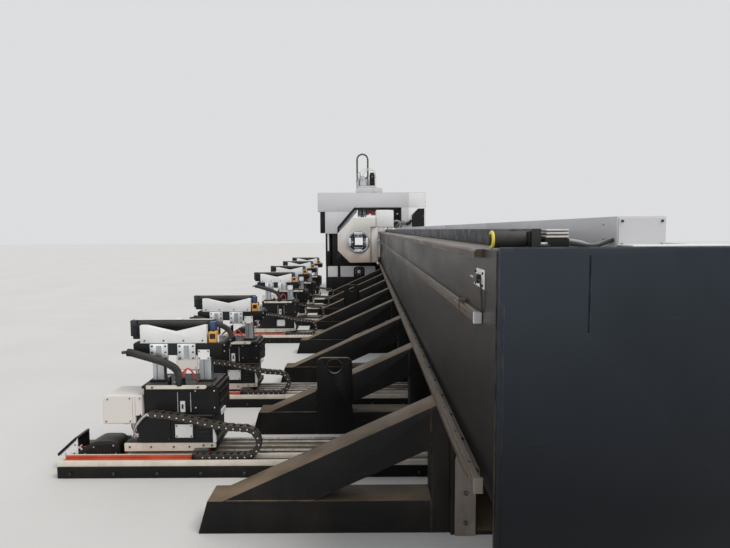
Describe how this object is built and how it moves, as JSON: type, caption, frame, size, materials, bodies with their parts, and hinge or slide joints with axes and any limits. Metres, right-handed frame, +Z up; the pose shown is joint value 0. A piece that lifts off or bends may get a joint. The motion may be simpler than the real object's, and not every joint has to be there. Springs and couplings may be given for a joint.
{
  "type": "tube laser cutting machine",
  "caption": "Side-hung fiber laser machine for long tubes: heavy bed on outriggers, tube support carts, a travelling chuck and a portal with a fixed chuck and cutting head.",
  "frame": {"origin": "on the floor under the middle of the bed", "axes": "+Z up, +Y along the bed towards the cutting portal, +X towards the side of the bed without the carts"},
  "size_m": [3.7973, 15.6, 3.8653],
  "materials": {
    "bed_black": "satin",
    "end_plate_blue": "satin",
    "rail_steel": "satin",
    "cover_white": "satin",
    "satin_black": "satin",
    "head_grey": "satin",
    "chain_black": "matte",
    "chuck_steel": "satin",
    "jaw_white": "satin"
  },
  "bodies": {
    "frame": {"bed_beam": "bed_black", "near_end_plate": "end_plate_blue", "bed_pedestal": "bed_black", "lower_rail": "rail_steel", "middle_rail": "rail_steel", "upper_rail": "rail_steel", "rack_cover": "satin_black", "cable_trunk": "cover_white", "portal_beam": "cover_white", "portal_left_leg": "cover_white", "portal_right_leg": "cover_white", "portal_lining": "satin_black", "portal_column": "satin_black", "portal_base": "satin_black", "middle_chuck_plate": "satin_black", "outrigger_1": "bed_black", "outrigger_2": "bed_black", "outrigger_3": "bed_black", "outrigger_4": "bed_black", "outrigger_5": "bed_black", "outrigger_6": "bed_black", "outrigger_7": "bed_black", "outrigger_8": "bed_black", "cart_1_base_beam": "satin_black", "cart_2_base_beam": "satin_black", "cart_3_base_beam": "satin_black", "cart_4_base_beam": "satin_black", "cart_5_base_beam": "satin_black", "cart_6_base_beam": "satin_black"},
    "feed_chuck": {"feed_carriage": "cover_white", "feed_chuck_housing": "cover_white"},
    "feed_rotor_body": {"feed_rotor": "chuck_steel"},
    "middle_rotor_body": {"middle_rotor": "chuck_steel"},
    "cross_slide_body": {"cross_slide": "cover_white", "z_motor": "satin_black", "cable_arch": "chain_black"},
    "ram_body": {"z_ram": "cover_white", "cutting_head": "chuck_steel"},
    "jaw_top": {"feed_jaw_top": "jaw_white"},
    "jaw_right": {"feed_jaw_right": "jaw_white"},
    "jaw_bottom": {"feed_jaw_bottom": "jaw_white"},
    "jaw_left": {"feed_jaw_left": "jaw_white"},
    "cart_1_slide_body": {"cart_1_carriage": "satin_black"},
    "cart_1_lift_body": {"cart_1_lift_head": "head_grey"},
    "cart_1_chain_body": {"cart_1_energy_chain": "chain_black"},
    "cart_2_slide_body": {"cart_2_carriage": "satin_black"},
    "cart_2_lift_body": {"cart_2_lift_head": "head_grey"},
    "cart_2_chain_body": {"cart_2_energy_chain": "chain_black"},
    "cart_3_slide_body": {"cart_3_carriage": "satin_black"},
    "cart_3_lift_body": {"cart_3_lift_head": "head_grey"},
    "cart_3_chain_body": {"cart_3_energy_chain": "chain_black"},
    "cart_4_slide_body": {"cart_4_carriage": "satin_black"},
    "cart_4_lift_body": {"cart_4_lift_head": "head_grey"},
    "cart_4_chain_body": {"cart_4_energy_chain": "chain_black"},
    "cart_5_slide_body": {"cart_5_carriage": "satin_black"},
    "cart_5_lift_body": {"cart_5_lift_head": "head_grey"},
    "cart_5_chain_body": {"cart_5_energy_chain": "chain_black"},
    "cart_6_slide_body": {"cart_6_carriage": "satin_black"},
    "cart_6_lift_body": {"cart_6_lift_head": "head_grey"},
    "cart_6_chain_body": {"cart_6_energy_chain": "chain_black"}
  },
  "joints": [
    {"name": "feed_slide", "type": "slide", "parent": "frame", "child": "feed_chuck", "axis": [0, 1, 0], "range_m": [-11.8, 0]},
    {"name": "feed_spin", "type": "hinge", "parent": "feed_chuck", "child": "feed_rotor_body", "pos_m": [-1.08, 4.7, 1.38], "axis": [0, 1, 0], "continuous": true},
    {"name": "middle_spin", "type": "hinge", "parent": "frame", "child": "middle_rotor_body", "pos_m": [-1.08, 5.96, 1.38], "axis": [0, 1, 0], "continuous": true},
    {"name": "jaw_top_slide", "type": "slide", "parent": "feed_rotor_body", "child": "jaw_top", "axis": [0, 0, 1], "range_m": [-0.075, 0.03]},
    {"name": "jaw_right_slide", "type": "slide", "parent": "feed_rotor_body", "child": "jaw_right", "axis": [1, 0, 0], "range_m": [-0.075, 0.03]},
    {"name": "jaw_bottom_slide", "type": "slide", "parent": "feed_rotor_body", "child": "jaw_bottom", "axis": [0, 0, -1], "range_m": [-0.075, 0.03]},
    {"name": "jaw_left_slide", "type": "slide", "parent": "feed_rotor_body", "child": "jaw_left", "axis": [-1, 0, 0], "range_m": [-0.075, 0.03]},
    {"name": "cross_slide_x", "type": "slide", "parent": "frame", "child": "cross_slide_body", "axis": [1, 0, 0], "range_m": [-0.095, 0.18]},
    {"name": "ram_z", "type": "slide", "parent": "cross_slide_body", "child": "ram_body", "axis": [0, 0, 1], "range_m": [-0.3, 0]},
    {"name": "cart_1_slide", "type": "slide", "parent": "frame", "child": "cart_1_slide_body", "axis": [1, 0, 0], "range_m": [0, 1.19]},
    {"name": "cart_1_lift", "type": "slide", "parent": "cart_1_slide_body", "child": "cart_1_lift_body", "axis": [0, 0, 1], "range_m": [-0.1, 0.2]},
    {"name": "cart_1_chain", "type": "slide", "parent": "frame", "child": "cart_1_chain_body", "axis": [1, 0, 0], "range_m": [0, 0.595]},
    {"name": "cart_2_slide", "type": "slide", "parent": "frame", "child": "cart_2_slide_body", "axis": [1, 0, 0], "range_m": [0, 1.19]},
    {"name": "cart_2_lift", "type": "slide", "parent": "cart_2_slide_body", "child": "cart_2_lift_body", "axis": [0, 0, 1], "range_m": [-0.1, 0.2]},
    {"name": "cart_2_chain", "type": "slide", "parent": "frame", "child": "cart_2_chain_body", "axis": [1, 0, 0], "range_m": [0, 0.595]},
    {"name": "cart_3_slide", "type": "slide", "parent": "frame", "child": "cart_3_slide_body", "axis": [1, 0, 0], "range_m": [0, 1.19]},
    {"name": "cart_3_lift", "type": "slide", "parent": "cart_3_slide_body", "child": "cart_3_lift_body", "axis": [0, 0, 1], "range_m": [-0.1, 0.2]},
    {"name": "cart_3_chain", "type": "slide", "parent": "frame", "child": "cart_3_chain_body", "axis": [1, 0, 0], "range_m": [0, 0.595]},
    {"name": "cart_4_slide", "type": "slide", "parent": "frame", "child": "cart_4_slide_body", "axis": [1, 0, 0], "range_m": [0, 1.19]},
    {"name": "cart_4_lift", "type": "slide", "parent": "cart_4_slide_body", "child": "cart_4_lift_body", "axis": [0, 0, 1], "range_m": [-0.1, 0.2]},
    {"name": "cart_4_chain", "type": "slide", "parent": "frame", "child": "cart_4_chain_body", "axis": [1, 0, 0], "range_m": [0, 0.595]},
    {"name": "cart_5_slide", "type": "slide", "parent": "frame", "child": "cart_5_slide_body", "axis": [1, 0, 0], "range_m": [0, 1.19]},
    {"name": "cart_5_lift", "type": "slide", "parent": "cart_5_slide_body", "child": "cart_5_lift_body", "axis": [0, 0, 1], "range_m": [-0.1, 0.2]},
    {"name": "cart_5_chain", "type": "slide", "parent": "frame", "child": "cart_5_chain_body", "axis": [1, 0, 0], "range_m": [0, 0.595]},
    {"name": "cart_6_slide", "type": "slide", "parent": "frame", "child": "cart_6_slide_body", "axis": [1, 0, 0], "range_m": [0, 1.19]},
    {"name": "cart_6_lift", "type": "slide", "parent": "cart_6_slide_body", "child": "cart_6_lift_body", "axis": [0, 0, 1], "range_m": [-0.1, 0.2]},
    {"name": "cart_6_chain", "type": "slide", "parent": "frame", "child": "cart_6_chain_body", "axis": [1, 0, 0], "range_m": [0, 0.595]}
  ],
  "couplings": [
    {"joint": "middle_spin", "follows": "feed_spin", "ratio": 1},
    {"joint": "jaw_right_slide", "follows": "jaw_top_slide", "ratio": 1},
    {"joint": "jaw_bottom_slide", "follows": "jaw_top_slide", "ratio": 1},
    {"joint": "jaw_left_slide", "follows": "jaw_top_slide", "ratio": 1},
    {"joint": "cart_1_chain", "follows": "cart_1_slide", "ratio": 0.5},
    {"joint": "cart_2_chain", "follows": "cart_2_slide", "ratio": 0.5},
    {"joint": "cart_3_chain", "follows": "cart_3_slide", "ratio": 0.5},
    {"joint": "cart_4_chain", "follows": "cart_4_slide", "ratio": 0.5},
    {"joint": "cart_5_chain", "follows": "cart_5_slide", "ratio": 0.5},
    {"joint": "cart_6_chain", "follows": "cart_6_slide", "ratio": 0.5}
  ]
}
